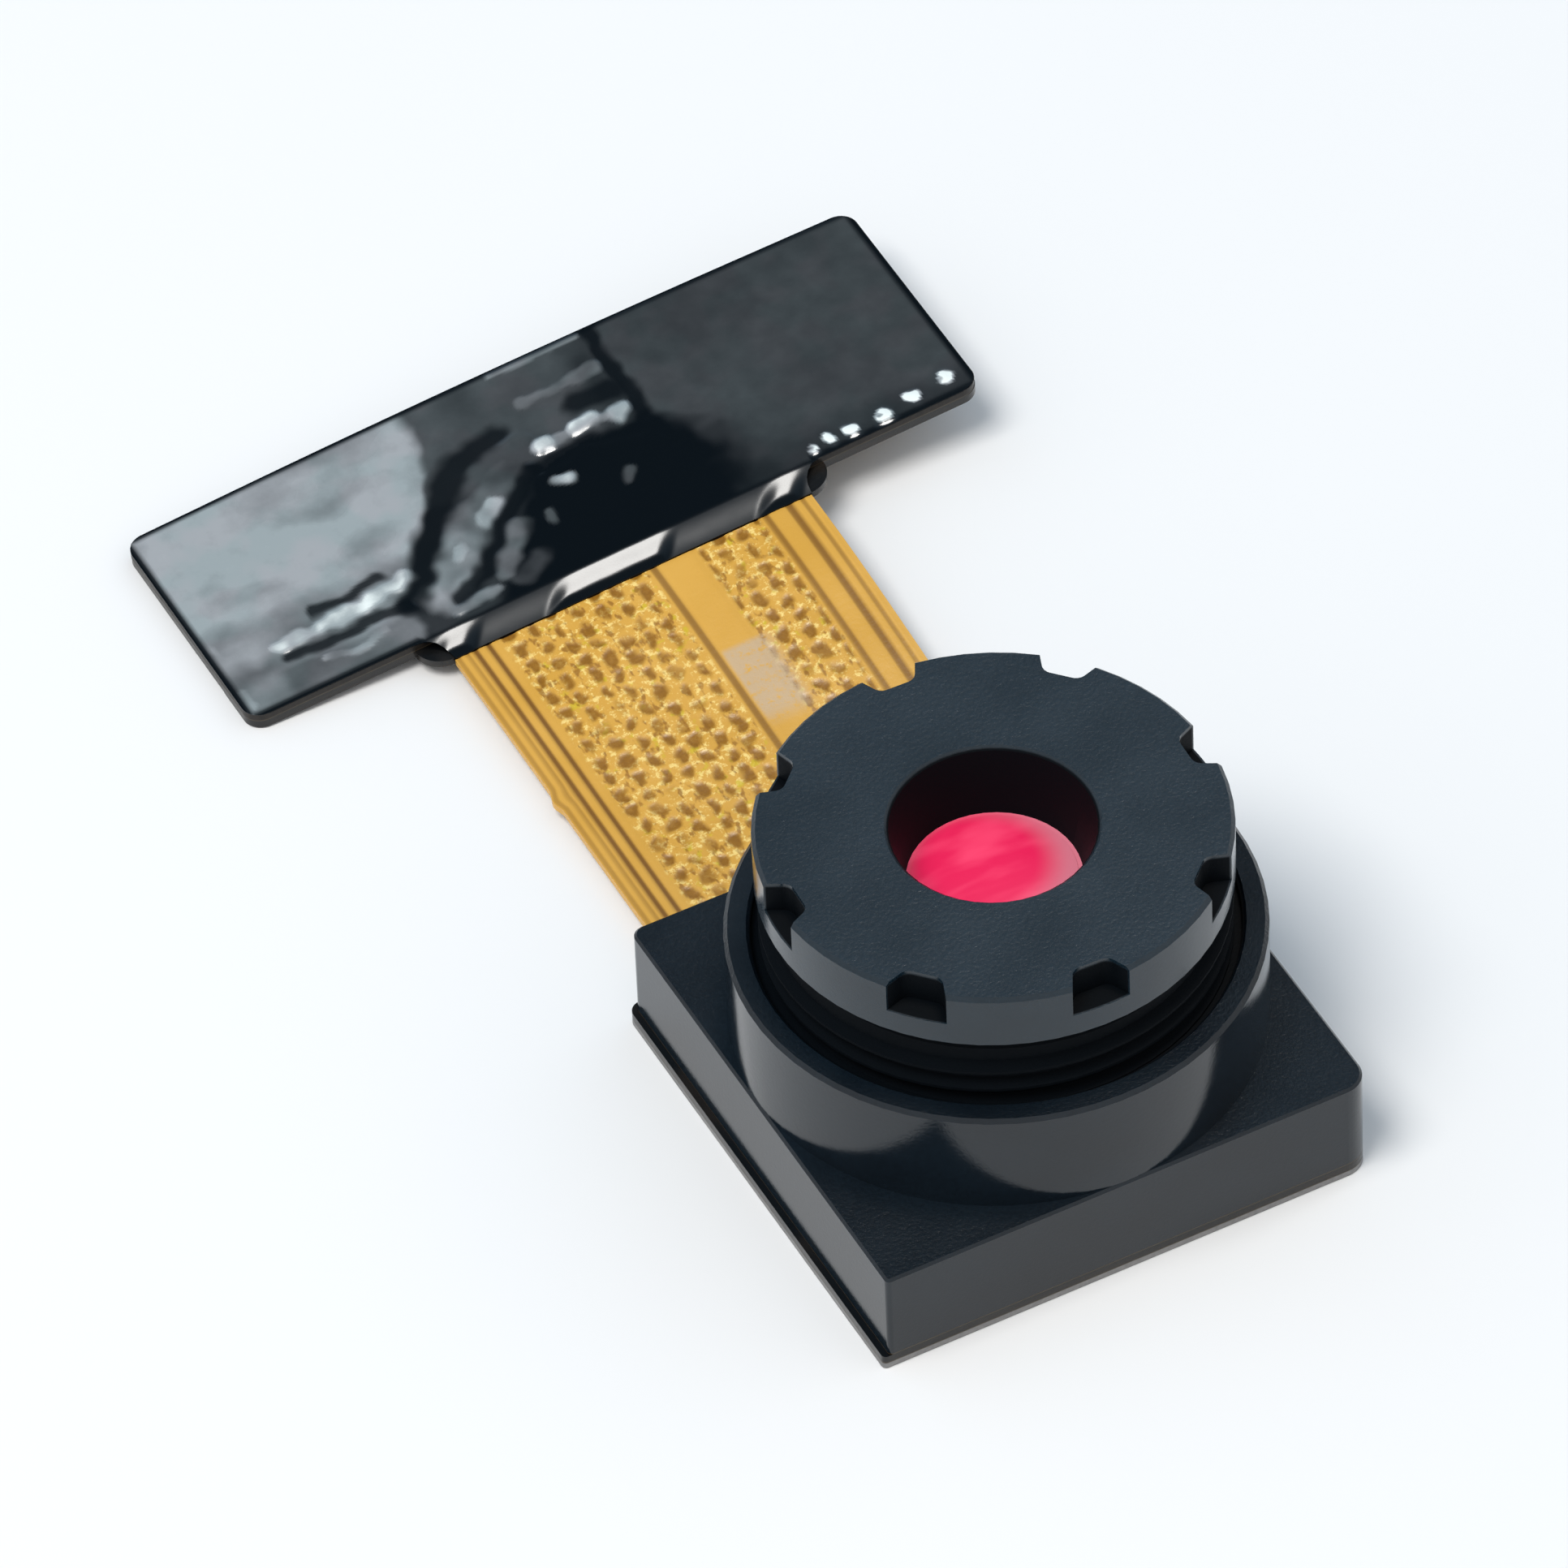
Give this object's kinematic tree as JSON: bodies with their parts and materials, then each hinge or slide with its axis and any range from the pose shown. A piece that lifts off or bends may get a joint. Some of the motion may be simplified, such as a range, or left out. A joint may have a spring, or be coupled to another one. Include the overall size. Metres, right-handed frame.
{
  "type": "camera module",
  "caption": "Miniature camera module: square lens holder, screw-in focus barrel and a short flex circuit with a T-shaped plug-in connector end.",
  "frame": {"origin": "centre of the camera head's rear face", "axes": "+Z along the optical axis, out of the lens; +Y along the flex circuit, from the head to the connector end"},
  "size_m": [0.0125, 0.0203, 0.0057],
  "materials": {
    "steel": "matte rolled steel sheet",
    "adhesive": "cured adhesive film",
    "polyimide": "amber polyimide film over copper",
    "black_coverlay": "flex circuit under black cover film",
    "holder_plastic": "moulded black plastic, fine satin texture",
    "barrel_plastic": "moulded black plastic, satin",
    "solder": "reflowed solder",
    "silicon": "polished silicon",
    "black_foil": "matt black foil",
    "clear_glass": "polished cover glass",
    "capacitor_ceramic": "fired ceramic",
    "resistor_body": "glazed black",
    "filter_glass": "infrared cut coating",
    "coated_lens": "polished, red-reflecting coating",
    "clear_lens": "moulded optical plastic",
    "gold_plate": "gold plating over nickel",
    "stiffener_board": "brown polyimide sheet",
    "shield_film": "glossy black film"
  },
  "bodies": {
    "camera_head": {"rear_stiffener": "steel", "rear_adhesive": "adhesive", "flex_head": "black_coverlay", "holder_adhesive": "adhesive", "lens_holder": "holder_plastic", "solder_balls": "solder", "sensor_die": "silicon", "sensor_dam": "black_foil", "sensor_cover_glass": "clear_glass", "chip_capacitors": "capacitor_ceramic", "chip_resistors": "resistor_body", "chip_terminals": "solder", "filter_adhesive": "adhesive", "infrared_filter": "filter_glass", "neck_head_end": "polyimide", "neck_bend": "polyimide"},
    "lens_stack": {"front_lens": "coated_lens", "aperture_stop": "black_foil", "second_lens": "clear_lens", "light_shield": "black_foil", "third_lens": "clear_lens", "retaining_ring": "barrel_plastic"},
    "barrel": {"lens_barrel": "barrel_plastic"},
    "connector_end": {"neck_connector_end": "polyimide", "flex_tail": "black_coverlay", "tail_coverlay": "black_coverlay", "contact_fingers": "gold_plate", "stiffener_adhesive": "adhesive", "connector_stiffener": "stiffener_board", "shield_film": "shield_film"}
  },
  "joints": [
    {"name": "focus_travel", "type": "slide", "parent": "camera_head", "child": "lens_stack", "axis": [0, 0, 1], "range_m": [-0.00061, 0.00052]},
    {"name": "focus_turn", "type": "hinge", "parent": "lens_stack", "child": "barrel", "pos_m": [0, 0, 0.004], "axis": [0, 0, 1], "range_deg": [-630, 540]},
    {"name": "flex_bend", "type": "hinge", "parent": "camera_head", "child": "connector_end", "pos_m": [0, 0.00775, 0.00038], "axis": [1, 0, 0], "range_deg": [-90, 90], "stiffness_Nm_per_rad": 0.0006, "deforming": ["neck_bend"]}
  ],
  "couplings": [
    {"joint": "focus_turn", "follows": "focus_travel", "rad_per_m": 17952}
  ]
}
